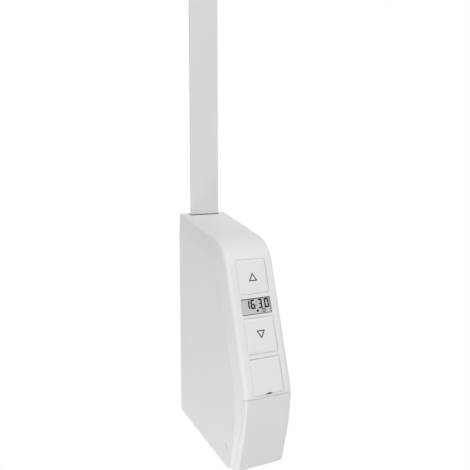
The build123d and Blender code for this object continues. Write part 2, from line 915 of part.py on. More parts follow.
with BuildPart() as motor_can:
    forward_rod(motor_radius, (motor_back, motor_front), 0, worm_height)
    forward_rod(
        motor_boss_radius, (motor_front, motor_front + bracket_thickness), 0, worm_height
    )
    forward_rod(
        motor_shaft_radius + running_fit, (motor_shaft_back - 0.5, motor_front + 3), 0,
        worm_height, mode=Mode.SUBTRACT,
    )
    for x in (-motor_screw_across, motor_screw_across):
        forward_rod(
            motor_screw_radius + screw_fit,
            (motor_front - motor_screw_depth - 0.3, motor_front),
            x, worm_height, mode=Mode.SUBTRACT,
        )
save(motor_can.part, "motor_can")

with BuildPart() as motor_end_cap:
    forward_rod(motor_cap_radius, (motor_cap_back, motor_back), 0, worm_height)
save(motor_end_cap.part, "motor_end_cap")

with BuildPart() as motor_bracket:
    bracket_depths = (motor_front, motor_front + bracket_thickness)
    block(
        (-cheek_inner + screw_fit, cheek_inner - screw_fit), bracket_depths,
        (worm_height - bracket_drop, worm_height + bracket_rise),
    )
    block(
        (-pin_end, pin_end), bracket_depths,
        (worm_height - bracket_tab_half, worm_height + bracket_tab_half),
    )
    forward_rod(
        motor_boss_radius + screw_fit, (motor_front - 1, motor_front + 3), 0, worm_height,
        mode=Mode.SUBTRACT,
    )
    for x in (-motor_screw_across, motor_screw_across):
        forward_rod(
            motor_screw_radius + screw_fit, (motor_front - 1, motor_front + 3), x,
            worm_height, mode=Mode.SUBTRACT,
        )
save(motor_bracket.part, "motor_bracket")

with BuildPart() as motor_screws:
    seat = motor_front + bracket_thickness
    for x in (-motor_screw_across, motor_screw_across):
        forward_rod(motor_screw_radius, (motor_front - motor_screw_depth, seat), x, worm_height)
        forward_rod(motor_screw_head, (seat, seat + motor_screw_cap), x, worm_height)
save(motor_screws.part, "motor_screws")

with BuildPart() as motor_leads:
    lead_foot = worm_height + sqrt(motor_cap_radius**2 - (lead_across - lead_radius) ** 2)
    for x in (-lead_across, lead_across):
        upright_rod(lead_radius, (lead_foot, power_board_height), x, lead_depth)
save(motor_leads.part, "motor_leads")

# Guide roller and the belt's run up to its free end

with BuildPart() as guide_roller:
    rod(roller_radius, (-roller_half, roller_half), roller_depth, roller_height)
    for sign in (-1, 1):
        flange = mirrored((roller_half - roller_flange, roller_half), sign)
        rod(roller_flange_radius, flange, roller_depth, roller_height)
    rod(
        roller_pin_radius + running_fit, (-half_width, half_width),
        roller_depth, roller_height, Mode.SUBTRACT,
    )
save(guide_roller.part, "guide_roller")

with BuildPart() as belt_run:
    coil_reach = coil_radius + coil_gap + belt_thickness / 2
    across = (roller_depth - drum_depth, roller_height - drum_height)
    spread = acos((coil_reach - roller_reach) / sqrt(across[0] ** 2 + across[1] ** 2))
    leaving = degrees(atan2(across[1], across[0]) + spread)
    with BuildSketch(side(belt_width / 2)):
        with BuildLine():
            lap = CenterArc(drum_centre, coil_reach, leaving + belt_overlap, -belt_overlap)
            bend = CenterArc((roller_depth, roller_height), roller_reach, leaving, 180 - leaving)
            Line(lap @ 1, bend @ 0)
            Line(bend @ 1, (belt_depth, belt_top))
        trace(line_width=belt_thickness)
    extrude(amount=belt_width)
save(belt_run.part, "belt_run")

with BuildPart() as belt_brushes:
    belt_faces = (belt_depth - belt_thickness / 2, belt_depth + belt_thickness / 2)
    foot = housing_height - wall - brush_foot
    block(
        (-slot_half, slot_half), (slot_back, belt_faces[0] - brush_gap),
        (foot, brush_tip),
    )
    block(
        (-slot_half, slot_half), (belt_faces[1] + brush_gap, slot_front),
        (foot, brush_tip),
    )
save(belt_brushes.part, "belt_brushes")

# Power board and what stands on it

power_board_top = power_board_height + board_thickness

with BuildPart() as power_board:
    block(
        (-pin_end, pin_end), (power_board_back, power_board_front),
        (power_board_height, power_board_top),
    )
    for sign in (-1, 1):
        for depth in board_tab_depths:
            block(
                mirrored((cheek_inner - board_tab_fit, cheek_outer + 1), sign),
                (depth - board_tab_half - board_tab_fit, depth + board_tab_half + board_tab_fit),
                (power_board_height, power_board_top), mode=Mode.SUBTRACT,
            )
save(power_board.part, "power_board")

with BuildPart() as transformer:
    block(
        (-transformer_half, transformer_half), transformer_depths,
        (power_board_top, power_board_top + transformer_height),
    )
save(transformer.part, "transformer")

with BuildPart() as relays:
    for sign in (-1, 1):
        block(
            mirrored(relay_across, sign), relay_depths,
            (power_board_top, power_board_top + relay_height),
        )
save(relays.part, "relays")

with BuildPart() as supply_capacitor:
    upright_rod(
        capacitor_radius, (power_board_top, power_board_top + capacitor_height),
        capacitor_across, capacitor_depth,
    )
save(supply_capacitor.part, "supply_capacitor")

# Front board, held by four screws, with its switches and display

with BuildPart() as control_board:
    panel_block(board_half_width, board_low, board_high, board_depth, board_back)
    for up in boss_ups:
        for x in (-boss_across, boss_across):
            panel_rod(
                board_screw_radius + screw_fit, board_depth - 1, board_back + 1, x, up,
                mode=Mode.SUBTRACT,
            )
save(control_board.part, "control_board")

with BuildPart() as board_screws:
    for up in boss_ups:
        for x in (-boss_across, boss_across):
            panel_rod(board_screw_radius, board_depth - board_screw_length, board_back, x, up)
            panel_rod(board_screw_head, board_back, board_back + board_screw_cap, x, up)
save(board_screws.part, "board_screws")

with BuildPart() as control_chip:
    panel_block(
        chip_size / 2, chip_up - chip_size / 2, chip_up + chip_size / 2,
        board_back, board_back + chip_height,
    )
save(control_chip.part, "control_chip")

up_middle = (up_low + up_high) / 2
down_middle = (down_low + down_high) / 2
setting_places = {
    "left": -setting_key_spacing,
    "middle": 0,
    "right": setting_key_spacing,
}
switch_places = [(0, up_middle), (0, down_middle)]
switch_places += [(x, setting_key_up) for x in setting_places.values()]

with BuildPart() as switch_cases:
    for x, up in switch_places:
        half = switch_size / 2
        panel_block(half, up - half, up + half, switch_depth, board_depth, x)
        panel_rod(
            plunger_radius + running_fit, switch_depth, switch_depth + plunger_bore_depth,
            x, up, mode=Mode.SUBTRACT,
        )
save(switch_cases.part, "switch_cases")


def plunger(x, up):
    with BuildPart() as part:
        panel_rod(plunger_radius, plunger_depth, switch_depth + plunger_sunk, x, up)
    return part.part


save(plunger(0, up_middle), "up_plunger")
save(plunger(0, down_middle), "down_plunger")
for name, x in setting_places.items():
    save(plunger(x, setting_key_up), f"{name}_plunger")

glass_margin = pocket_margin - glass_gap
holder_low, holder_high = display_low - glass_margin, display_high + glass_margin
glass_back = pocket_wall + glass_thickness

with BuildPart() as display_glass:
    panel_block(panel_half + glass_margin, holder_low, holder_high, pocket_wall, glass_back)
save(display_glass.part, "display_glass")

with BuildPart() as display_holder:
    panel_block(panel_half, holder_low, holder_high, glass_back, board_depth)
    panel_block(
        panel_half - holder_wall, holder_low + holder_wall, holder_high - holder_wall,
        glass_back - 1, board_depth + 1, mode=Mode.SUBTRACT,
    )
save(display_holder.part, "display_holder")

# Ribbon cable between the two boards

with BuildPart() as board_sockets:
    socket = (socket_across - socket_length / 2, socket_across + socket_length / 2)
    block(socket, power_socket_depths, (power_board_top, power_board_top + socket_height))
    panel_block(
        socket_length / 2, socket_up - socket_width / 2, socket_up + socket_width / 2,
        board_back, board_back + socket_height, socket_across,
    )
save(board_sockets.part, "board_sockets")

with BuildPart() as link_ribbon:
    leaving_point = (power_socket_depths[1], power_board_top + socket_height / 2)
    with BuildSketch(side(socket_across + ribbon_width / 2)):
        with BuildLine():
            FilletPolyline(
                leaving_point,
                (leaving_point[0] + 9, leaving_point[1]),
                panel_point(socket_up, board_back + socket_height + 7.5),
                panel_point(socket_up, board_back + socket_height),
                radius=ribbon_radius,
            )
        trace(line_width=ribbon_thickness)
    extrude(amount=ribbon_width)
save(link_ribbon.part, "link_ribbon")

# Keys and flap in the sloping front


def bevelled_plate(low, high, thickness, high_bevel=bevel_run, corners=(0, 0)):
    """Plate in the front panel with a sloping border, and rounded corners if wanted."""
    border_corner, face_corner = corners
    panel_block(panel_half, low, high, bevel_drop, thickness, corner=border_corner)
    with BuildSketch(front(bevel_drop)) as border:
        with Locations((0, (low + high) / 2)):
            Rectangle(2 * panel_half, high - low)
        if border_corner:
            fillet(border.vertices(), border_corner)
    with BuildSketch(front(0)) as face:
        with Locations((0, (low + bevel_run + high - high_bevel) / 2)):
            Rectangle(2 * (panel_half - bevel_run), high - high_bevel - low - bevel_run)
        if face_corner:
            fillet(face.vertices(), face_corner)
    loft([border.sketch, face.sketch])


def panel_key(low, high):
    """Key that slides square to the front, kept in by two lips behind it."""
    lip_back = key_lip_depth + key_lip_thickness
    skirt = panel_half - key_skirt_inset
    with BuildPart() as part:
        bevelled_plate(low, high, key_thickness, corners=(key_corner, key_face_corner))
        panel_block(skirt, low, high, key_thickness, lip_back, corner=key_corner)
        panel_block(
            skirt, low - key_lip_height, high + key_lip_height, key_lip_depth, lip_back
        )
        panel_rod(key_stem_radius, lip_back, plunger_depth, 0, (low + high) / 2)
    return part.part


save(panel_key(up_low, up_high), "up_key")
save(panel_key(down_low, down_high), "down_key")

with BuildPart() as settings_flap:
    bevelled_plate(flap_low, hinge_up, flap_thickness, hinge_bevel)
    hinge_place = panel_point(hinge_up, hinge_depth)
    rod(hinge_radius, (-panel_half, panel_half), *hinge_place)
    pin_reach = panel_half + hinge_pin_length
    rod(hinge_pin_radius, (-pin_reach, pin_reach), *hinge_place)
    lift_up = flap_low + lift_height - lift_radius
    panel_rod(lift_radius, -1, flap_thickness + 1, 0, lift_up, mode=Mode.SUBTRACT)
save(settings_flap.part, "settings_flap")

# Tray behind the flap and its three setting keys

tray_back = tray_floor_depth + tray_floor
tray_half = panel_half - tray_ledge
tray_low, tray_high = flap_low + tray_foot, flap_high - tray_ledge
tray_front = wall + tray_gap

with BuildPart() as key_tray:
    panel_block(tray_rim_half, *tray_rim, tray_front, tray_front + tray_rim_thickness)
    panel_block(
        tray_half + tray_wall, tray_low - tray_wall, tray_high + tray_wall, tray_front,
        tray_back,
    )
    panel_block(
        tray_half, tray_low, tray_high, wall - 1, tray_floor_depth, mode=Mode.SUBTRACT
    )
    for x in (-tray_legs[0], tray_legs[0]):
        for up in tray_legs[1]:
            panel_rod(tray_leg_radius, tray_back, board_depth, x, up)
    for x in setting_places.values():
        panel_rod(
            setting_key_radius + setting_key_gap, wall, tray_back + 1, x, setting_key_up,
            mode=Mode.SUBTRACT,
        )
save(key_tray.part, "key_tray")

for name, x in setting_places.items():
    with BuildPart() as setting_key:
        key_front = tray_floor_depth - setting_key_proud
        panel_rod(setting_key_radius, key_front, plunger_depth, x, setting_key_up)
        panel_rod(setting_key_flange, tray_back + running_fit, plunger_depth, x, setting_key_up)
    save(setting_key.part, f"{name}_setting_key")

# Mains connection: terminal block, cable inlet and cable clamp

terminal_pitch = (terminal_across[1] - terminal_across[0]) / terminal_ways
terminal_xs = [terminal_across[0] + terminal_pitch * (way + 0.5) for way in range(terminal_ways)]
terminal_screw_height = (terminal_heights[0] + terminal_heights[1]) / 2 + 3
terminal_screw_seat = terminal_depths[1] - 2

with BuildPart() as terminal_block:
    block(terminal_across, terminal_depths, terminal_heights)
    for x in terminal_xs:
        forward_rod(
            terminal_screw_radius + screw_fit, (terminal_screw_seat, terminal_depths[1]), x,
            terminal_screw_height, mode=Mode.SUBTRACT,
        )
        upright_rod(
            terminal_entry_radius,
            (terminal_heights[0], terminal_heights[0] + terminal_entry_depth), x,
            sum(terminal_depths) / 2, mode=Mode.SUBTRACT,
        )
save(terminal_block.part, "terminal_block")

with BuildPart() as terminal_screws:
    for x in terminal_xs:
        forward_rod(
            terminal_screw_radius, (terminal_screw_seat, terminal_depths[1] - 0.4), x,
            terminal_screw_height,
        )
save(terminal_screws.part, "terminal_screws")

with BuildPart() as supply_lead:
    with BuildSketch(side(supply_lead_across[1])):
        with BuildLine():
            FilletPolyline(
                (supply_lead_depth, terminal_heights[1]),
                (supply_lead_depth, power_board_height - 8),
                (power_board_back, power_board_height + board_thickness / 2),
                radius=4,
            )
        trace(line_width=supply_lead_width)
    extrude(amount=supply_lead_across[1] - supply_lead_across[0])
    add(power_board.part, mode=Mode.SUBTRACT)
    add(terminal_block.part, mode=Mode.SUBTRACT)
save(supply_lead.part, "supply_lead")

with BuildPart() as cable_grommet:
    upright_rod(
        grommet_radius, (-grommet_flange, wall + grommet_flange), grommet_across,
        grommet_depth,
    )
    for low in (-grommet_flange, wall):
        upright_rod(
            grommet_flange_radius, (low, low + grommet_flange), grommet_across,
            grommet_depth,
        )
    upright_rod(
        grommet_bore, (-5, 10), grommet_across, grommet_depth, mode=Mode.SUBTRACT
    )
save(cable_grommet.part, "cable_grommet")

with BuildPart() as cable_clamp:
    block(clamp_across, (clamp_back, clamp_front), clamp_heights)
    for x in clamp_posts:
        forward_rod(
            clamp_screw_radius + screw_fit, (clamp_back - 1, clamp_front + 1), x,
            clamp_middle, mode=Mode.SUBTRACT,
        )
save(cable_clamp.part, "cable_clamp")

with BuildPart() as clamp_screws:
    for x in clamp_posts:
        tip = clamp_back - clamp_screw_depth + 0.5
        forward_rod(clamp_screw_radius, (tip, clamp_front), x, clamp_middle)
        forward_rod(clamp_screw_head, (clamp_front, clamp_front + clamp_screw_cap), x, clamp_middle)
save(clamp_screws.part, "clamp_screws")
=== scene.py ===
import json
from math import cos, pi, radians, sin
from random import Random

import bpy
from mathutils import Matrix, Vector


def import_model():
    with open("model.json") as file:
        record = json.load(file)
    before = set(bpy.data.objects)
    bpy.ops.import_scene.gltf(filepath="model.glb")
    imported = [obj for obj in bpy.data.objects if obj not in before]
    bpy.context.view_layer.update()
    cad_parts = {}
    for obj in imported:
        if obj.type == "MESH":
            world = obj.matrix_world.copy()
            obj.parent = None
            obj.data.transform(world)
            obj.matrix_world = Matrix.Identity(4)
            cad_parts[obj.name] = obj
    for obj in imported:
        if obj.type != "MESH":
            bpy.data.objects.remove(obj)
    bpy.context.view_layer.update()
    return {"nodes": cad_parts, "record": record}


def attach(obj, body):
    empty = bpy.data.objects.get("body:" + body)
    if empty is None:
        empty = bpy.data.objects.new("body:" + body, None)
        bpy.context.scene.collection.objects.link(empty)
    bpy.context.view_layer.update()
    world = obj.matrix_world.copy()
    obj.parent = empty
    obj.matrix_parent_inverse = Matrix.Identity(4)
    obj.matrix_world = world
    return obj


# Electric shutter belt winder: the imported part, dressed for its photograph.
# +X is right, +Y goes into the wall, +Z is up. Places on the front panel and of the bristles
# are in millimetres, and places of the camera, the lamps and the floor in metres.

# Front panel, as drawn in the part
MM = 0.001
FIXING_HEIGHT = 90.0
FRONT_LEAN = radians(19.44)
SEAM_DEPTH, SEAM_HEIGHT = 113.9, 55.3
DISPLAY_DEPTH = 1.1
DISPLAY_LEFT, DISPLAY_RIGHT = -10.7, 10.7
DISPLAY_LOW, DISPLAY_HIGH = 51.2, 61.8

# Marks printed on the keys, as x and distance up the panel
UP_MARK = ((0.15, 78.3), (-3.1, 72.85), (3.25, 72.85))
DOWN_MARK = ((0.3, 35.7), (3.4, 41.0), (-2.85, 41.0))
MARK_WIDTH = 0.68
MARK_MITRE = 2.0            # mark widths from an outer corner to the inner one, at 60 degrees
PRINT_HEIGHT = 0.03

# Digits of the display
DIGIT_LOW, DIGIT_HIGH = 54.8, 61.0
DIGIT_WIDTH = 3.3
STROKE = 1.08
SLIT = 0.04                 # share by which a bar is shrunk towards its middle
DIGIT_CENTRES = {"1": -6.0, "6": -2.0, "3": 3.1, "0": 7.95}
SEGMENTS = {"1": "bc", "6": "acdefg", "3": "abcdg", "0": "abcdef"}

# Signs of the display: squares as x, distance up and side, the clock's ring as x, distance
# up, radius and line width, and its hands as left, low, right and high
SQUARE = (0.85, 53.45, 1.5)
COLON = ((0.55, 56.9, 0.75), (0.55, 59.1, 0.75))
CLOCK_RING = (5.35, 53.4, 1.45, 0.5)
CLOCK_HANDS = ((5.15, 53.2, 5.5, 54.35), (5.5, 53.2, 6.3, 53.55))
RING_SIDES = 24
# Width of the dark band round the inside of the display window, painted shade of the window's
# walls
RIM_SHADE_WIDTH = 0.55

# Bristles of the brushes on both sides of the belt, as depth from the wall and height
BRISTLE_ROWS = (3.6, 3.9, 4.2, 5.8, 6.1, 6.4)
BRISTLE_FOOT, BRISTLE_TIP = 158.9, 159.8
BRISTLE_HALF_SPAN = 11.6
BRISTLE_COUNT = 96          # in each row
BRISTLE_HALF = 0.12         # half its thickness at the foot
BRISTLE_TIP_HALF = 0.07
BRISTLE_SPREAD = 0.1        # how far a tip lies above or below the others at most
BRISTLE_SEED = 3

# Scales of the surface patterns, as the texture nodes take them
MOTTLE_SCALE = 60.0
GRAIN_SCALE = 2600.0
DRAWN_LINE_SCALE = 900.0
TUFT_SCALE = 1800.0
CLOUD_SCALE = 120.0
RIB_SCALE, THREAD_SCALE = 480.0, 620.0
NOISE_LOW, NOISE_HIGH = 0.3, 0.7    # most of a noise lies between these

# Depths of the surface reliefs, in metres
FINE_RELIEF = 0.00002
WEAVE_RELIEF = 0.00008
TUFT_RELIEF = 0.0002

# How far the mottle and the drawn lines change a surface
MOTTLE_ROUGHNESS = 0.03
LINE_SHADE = 0.9
LINE_SMOOTHER, LINE_ROUGHER = 0.06, 0.08

# Camera, solved from the photograph's straight edges
CAMERA_PLACE = (-0.15667, -0.39545, 0.11647)
CAMERA_YAW = radians(25.16)
CAMERA_PITCH = radians(-5.93)
CAMERA_LENS = 40.85
CAMERA_SHIFT = -25 / 470    # pixels of shift, over the picture's width

# Studio, and its square lamps as place, target, side and power in watts
WORLD_STRENGTH = 0.18
FLOOR_COLOUR = (0.75, 0.75, 0.75)
FLOOR_REACH = 3.0
FLOOR_HEIGHT = -0.45
LAMPS = {
    "high_light": ((0.1, -1.1, 1.6), (0, -0.1, 0), 0.7, 22.6),
    "front_light": ((0.3, -1.6, 0.2), (0, -0.1, 0), 0.8, 3.6),
    "side_light": ((-1.3, -0.15, 0.0), (0, -0.05, 0), 0.9, 4.1),
    "low_light": ((-0.4, -0.2, -0.35), (0, -0.05, -0.08), 0.3, 1.1),
    "back_light": ((0.3, 1.5, -0.3), (0, 0, 0), 0.9, 10.0),
}

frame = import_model()


def panel(x, up, depth=0.0):
    """Point on the sloping front, in metres."""
    away = SEAM_DEPTH - up * sin(FRONT_LEAN) - depth * cos(FRONT_LEAN)
    height = SEAM_HEIGHT + up * cos(FRONT_LEAN) - depth * sin(FRONT_LEAN)
    return Vector((x * MM, -away * MM, (height - FIXING_HEIGHT) * MM))


# Materials


def new_material(name):
    material = bpy.data.materials.new(name)
    material.use_nodes = True
    nodes, links = material.node_tree.nodes, material.node_tree.links
    return material, nodes, links, nodes["Principled BSDF"]


def position(nodes, links, scale=(1, 1, 1)):
    """Object coordinates stretched by this scale."""
    place = nodes.new("ShaderNodeTexCoord")
    stretch = nodes.new("ShaderNodeMapping")
    stretch.inputs["Scale"].default_value = scale
    links.new(place.outputs["Object"], stretch.inputs["Vector"])
    return stretch.outputs["Vector"]


def noise(nodes, links, vector, scale, detail=4.0):
    texture = nodes.new("ShaderNodeTexNoise")
    texture.inputs["Scale"].default_value = scale
    texture.inputs["Detail"].default_value = detail
    links.new(vector, texture.inputs["Vector"])
    return texture.outputs["Fac"]


def wave(nodes, links, vector, direction, scale, distortion):
    """Slightly wavy bands that follow each other in this direction."""
    texture = nodes.new("ShaderNodeTexWave")
    texture.bands_direction = direction
    texture.inputs["Scale"].default_value = scale
    texture.inputs["Distortion"].default_value = distortion
    links.new(vector, texture.inputs["Vector"])
    return texture.outputs["Fac"]


def spread(nodes, links, value, low, high):
    """Turns a noise into values from low to high."""
    ramp = nodes.new("ShaderNodeMapRange")
    ramp.inputs["From Min"].default_value = NOISE_LOW
    ramp.inputs["From Max"].default_value = NOISE_HIGH
    ramp.inputs["To Min"].default_value = low
    ramp.inputs["To Max"].default_value = high
    links.new(value, ramp.inputs["Value"])
    return ramp.outputs["Result"]


def mix(nodes, links, factor, first, second):
    blend = nodes.new("ShaderNodeMix")
    blend.data_type = "RGBA"
    blend.inputs["A"].default_value = (*first, 1)
    blend.inputs["B"].default_value = (*second, 1)
    links.new(factor, blend.inputs["Factor"])
    return blend.outputs["Result"]


def bump(nodes, links, height, shader, strength, distance, edge=0):
    """Fine relief, over edges softened by this radius."""
    relief = nodes.new("ShaderNodeBump")
    if edge:
        soft = nodes.new("ShaderNodeBevel")
        soft.samples = 8
        soft.inputs["Radius"].default_value = edge
        links.new(soft.outputs["Normal"], relief.inputs["Normal"])
    relief.inputs["Strength"].default_value = strength
    relief.inputs["Distance"].default_value = distance
    links.new(height, relief.inputs["Height"])
    links.new(relief.outputs["Normal"], shader.inputs["Normal"])


def plastic(name, colour, roughness, grain=0.12, variation=0.01, specular=0.35, edge=0):
    """Moulded plastic with a faint mottle and a fine grain."""
    material, nodes, links, shader = new_material(name)
    vector = position(nodes, links)
    mottle = noise(nodes, links, vector, MOTTLE_SCALE)
    darker = tuple(c * (1 - variation) for c in colour)
    lighter = tuple(min(1, c * (1 + variation)) for c in colour)
    mottled = mix(nodes, links, mottle, darker, lighter)
    links.new(mottled, shader.inputs["Base Color"])
    smoother, rougher = roughness - MOTTLE_ROUGHNESS, roughness + MOTTLE_ROUGHNESS
    links.new(spread(nodes, links, mottle, smoother, rougher), shader.inputs["Roughness"])
    shader.inputs["Specular IOR Level"].default_value = specular
    grit = noise(nodes, links, vector, GRAIN_SCALE, detail=2.0)
    bump(nodes, links, grit, shader, strength=grain, distance=FINE_RELIEF, edge=edge)
    return material


def metal(name, colour, roughness, stretch):
    """Bare metal with fine drawn lines."""
    material, nodes, links, shader = new_material(name)
    vector = position(nodes, links, stretch)
    lines = noise(nodes, links, vector, DRAWN_LINE_SCALE, detail=6.0)
    shader.inputs["Metallic"].default_value = 1.0
    darker = tuple(c * LINE_SHADE for c in colour)
    lined = mix(nodes, links, lines, darker, colour)
    links.new(lined, shader.inputs["Base Color"])
    smoother, rougher = roughness - LINE_SMOOTHER, roughness + LINE_ROUGHER
    links.new(spread(nodes, links, lines, smoother, rougher), shader.inputs["Roughness"])
    bump(nodes, links, lines, shader, strength=0.15, distance=FINE_RELIEF)
    return material


def webbing():
    """Woven belt: fine ribs across and threads along it."""
    material, nodes, links, shader = new_material("webbing")
    vector = position(nodes, links)
    weave = nodes.new("ShaderNodeMath")
    weave.operation = "MULTIPLY"
    ribs = wave(nodes, links, vector, "Z", RIB_SCALE, distortion=0.6)
    threads = wave(nodes, links, vector, "X", THREAD_SCALE, distortion=0.4)
    links.new(ribs, weave.inputs[0])
    links.new(threads, weave.inputs[1])
    woven = weave.outputs["Value"]
    colour = mix(nodes, links, woven, (0.705, 0.705, 0.72), (0.79, 0.79, 0.805))
    links.new(colour, shader.inputs["Base Color"])
    shader.inputs["Roughness"].default_value = 0.85
    shader.inputs["Specular IOR Level"].default_value = 0.15
    bump(nodes, links, woven, shader, strength=0.25, distance=WEAVE_RELIEF)
    return material


def pile_and_shade():
    """Dense dark bristles of the brush seal, their dark colour also painted shade where the
    belt enters its slot.
    """
    material, nodes, links, shader = new_material("pile_and_shade")
    vector = position(nodes, links, (1, 1, 0.1))
    tufts = noise(nodes, links, vector, TUFT_SCALE, detail=3.0)
    # Dark grey pile: the brush's own colour, and painted shade where the belt goes into the
    # slot
    colour = mix(nodes, links, tufts, (0.1, 0.1, 0.103), (0.24, 0.24, 0.245))
    links.new(colour, shader.inputs["Base Color"])
    shader.inputs["Roughness"].default_value = 0.95
    shader.inputs["Specular IOR Level"].default_value = 0.05
    bump(nodes, links, tufts, shader, strength=0.6, distance=TUFT_RELIEF)
    return material


def display():
    """Liquid-crystal window, pale grey and faintly cloudy."""
    material, nodes, links, shader = new_material("display")
    cloud = noise(nodes, links, position(nodes, links), CLOUD_SCALE)
    colour = mix(nodes, links, cloud, (0.54, 0.545, 0.535), (0.61, 0.615, 0.605))
    links.new(colour, shader.inputs["Base Color"])
    shader.inputs["Roughness"].default_value = 0.25
    shader.inputs["Specular IOR Level"].default_value = 0.4
    return material


materials = {
    "housing": plastic("housing", (0.80, 0.80, 0.785), 0.42, edge=0.0004),
    "key": plastic("key", (0.80, 0.80, 0.785), 0.4, edge=0.0003),
    "display": display(),
    "webbing": webbing(),
    "brush": pile_and_shade(),
    "steel": metal("steel", (0.62, 0.63, 0.65), 0.34, stretch=(1, 1, 40)),
    "brass": metal("brass", (0.78, 0.6, 0.3), 0.3, stretch=(1, 40, 1)),
    "gear": plastic("gear", (0.82, 0.81, 0.76), 0.4),
    "drum": plastic("drum", (0.03, 0.032, 0.035), 0.5, variation=0.2),
    "tray": plastic("tray", (0.6, 0.6, 0.59), 0.45),
    "setting_key": plastic("setting_key", (0.1, 0.1, 0.105), 0.5, variation=0.1),
    "plunger": plastic("plunger", (0.02, 0.02, 0.02), 0.4, variation=0.2),
    "black": plastic("black", (0.015, 0.015, 0.016), 0.45, variation=0.3),
    "board": plastic("board", (0.02, 0.13, 0.05), 0.3, grain=0.3, variation=0.25),
    "terminal": plastic("terminal", (0.16, 0.24, 0.18), 0.45, variation=0.1),
    "wire": plastic("wire", (0.3, 0.3, 0.32), 0.4, variation=0.1),
    "grommet": plastic("grommet", (0.05, 0.05, 0.052), 0.75, variation=0.2),
}
ink = plastic("ink", (0.02, 0.02, 0.021), 0.6, variation=0.15, specular=0.1)
segment = plastic("segment", (0.004, 0.004, 0.0045), 0.6, variation=0.2, specular=0.05)
faint = plastic("faint", (0.05, 0.05, 0.05), 0.6, variation=0.1, specular=0.05)
# Mid grey of the display's rim: painted shade of the window's walls on the glass
window_rim_shade = plastic("window_rim_shade", (0.17, 0.17, 0.17), 0.5, variation=0.1, specular=0.1)

for part in frame["record"]["subparts"]:
    node = frame["nodes"][part["node"]]
    node.data.materials.clear()
    node.data.materials.append(materials[part["material_slot"]])


def mesh_object(name, points, faces, material):
    """Object of these points and faces, linked to the scene."""
    mesh = bpy.data.meshes.new(name)
    mesh.from_pydata(points, [], faces)
    mesh.materials.append(material)
    mesh.update()
    piece = bpy.data.objects.new(name, mesh)
    bpy.context.scene.collection.objects.link(piece)
    return piece


# Printed marks, display segments and painted shade at the display's rim, thin prisms on the
# panel


def prism(name, outlines, depth, material, body):
    """Thin flat shapes standing on the panel at this depth."""
    points, faces = [], []
    for outline in outlines:
        first, count = len(points), len(outline)
        points += [panel(x, up, depth) for x, up in outline]
        points += [panel(x, up, depth - PRINT_HEIGHT) for x, up in outline]
        faces.append([first + i for i in range(count)][::-1])
        faces.append([first + count + i for i in range(count)])
        for i in range(count):
            j = (i + 1) % count
            faces.append([first + i, first + j, first + count + j, first + count + i])
    piece = mesh_object(name, points, faces, material)
    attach(piece, body)


def outline_strokes(corners, width):
    """A closed line of this width inside the corners, as one four-sided shape per side."""
    centre = sum((Vector(corner) for corner in corners), Vector((0, 0))) / len(corners)
    inner = []
    for corner in corners:
        out = Vector(corner) - centre
        inner.append(tuple(Vector(corner) - out.normalized() * width * MARK_MITRE))
    strokes = []
    for i in range(len(corners)):
        j = (i + 1) % len(corners)
        strokes.append([corners[i], corners[j], inner[j], inner[i]])
    return strokes


def ring_strokes(x, up, radius, width):
    """A ring with this outer radius, as four-sided shapes."""
    strokes = []
    for i in range(RING_SIDES):
        a, b = 2 * pi * i / RING_SIDES, 2 * pi * (i + 1) / RING_SIDES
        strokes.append([
            (x + radius * cos(a), up + radius * sin(a)),
            (x + radius * cos(b), up + radius * sin(b)),
            (x + (radius - width) * cos(b), up + (radius - width) * sin(b)),
            (x + (radius - width) * cos(a), up + (radius - width) * sin(a)),
        ])
    return strokes


def rectangle(left, low, right, high):
    return [(left, low), (right, low), (right, high), (left, high)]


def square(x, up, side):
    """Square about this point."""
    return rectangle(x - side / 2, up - side / 2, x + side / 2, up + side / 2)


def segment_shapes(digit, x):
    """Seven-segment digit about this x, as bars with fine slits between them."""
    outer, inner, half = DIGIT_WIDTH / 2, DIGIT_WIDTH / 2 - STROKE, STROKE / 2
    low, high, middle = DIGIT_LOW, DIGIT_HIGH, (DIGIT_LOW + DIGIT_HIGH) / 2
    right_top = [(outer, high), (outer, middle), (inner, middle), (inner, high - STROKE)]
    right_low = [(outer, middle), (outer, low), (inner, low + STROKE), (inner, middle)]
    bars = {
        "a": [(-outer, high), (outer, high), (inner, high - STROKE), (-inner, high - STROKE)],
        "b": right_top,
        "c": right_low,
        "d": [(-outer, low), (-inner, low + STROKE), (inner, low + STROKE), (outer, low)],
        "e": [(-across, up) for across, up in right_low[::-1]],
        "f": [(-across, up) for across, up in right_top[::-1]],
        "g": rectangle(-inner, middle - half, inner, middle + half),
    }
    shapes = []
    for name in SEGMENTS[digit]:
        corners = [Vector(corner) for corner in bars[name]]
        centre = sum(corners, Vector((0, 0))) / len(corners)
        shrunk = [centre + (corner - centre) * (1 - SLIT) for corner in corners]
        shapes.append([(x + corner.x, corner.y) for corner in shrunk])
    return shapes


prism("up_mark", outline_strokes(UP_MARK, MARK_WIDTH), 0, ink, "up_button")
prism("down_mark", outline_strokes(DOWN_MARK, MARK_WIDTH), 0, ink, "down_button")

digits = [shape for digit, x in DIGIT_CENTRES.items() for shape in segment_shapes(digit, x)]
digits.append(square(*SQUARE))
prism("display_digits", digits, DISPLAY_DEPTH, segment, "housing")

signs = [square(*dot) for dot in COLON]
signs += [rectangle(*hand) for hand in CLOCK_HANDS]
signs += ring_strokes(*CLOCK_RING)
prism("display_signs", signs, DISPLAY_DEPTH, faint, "housing")

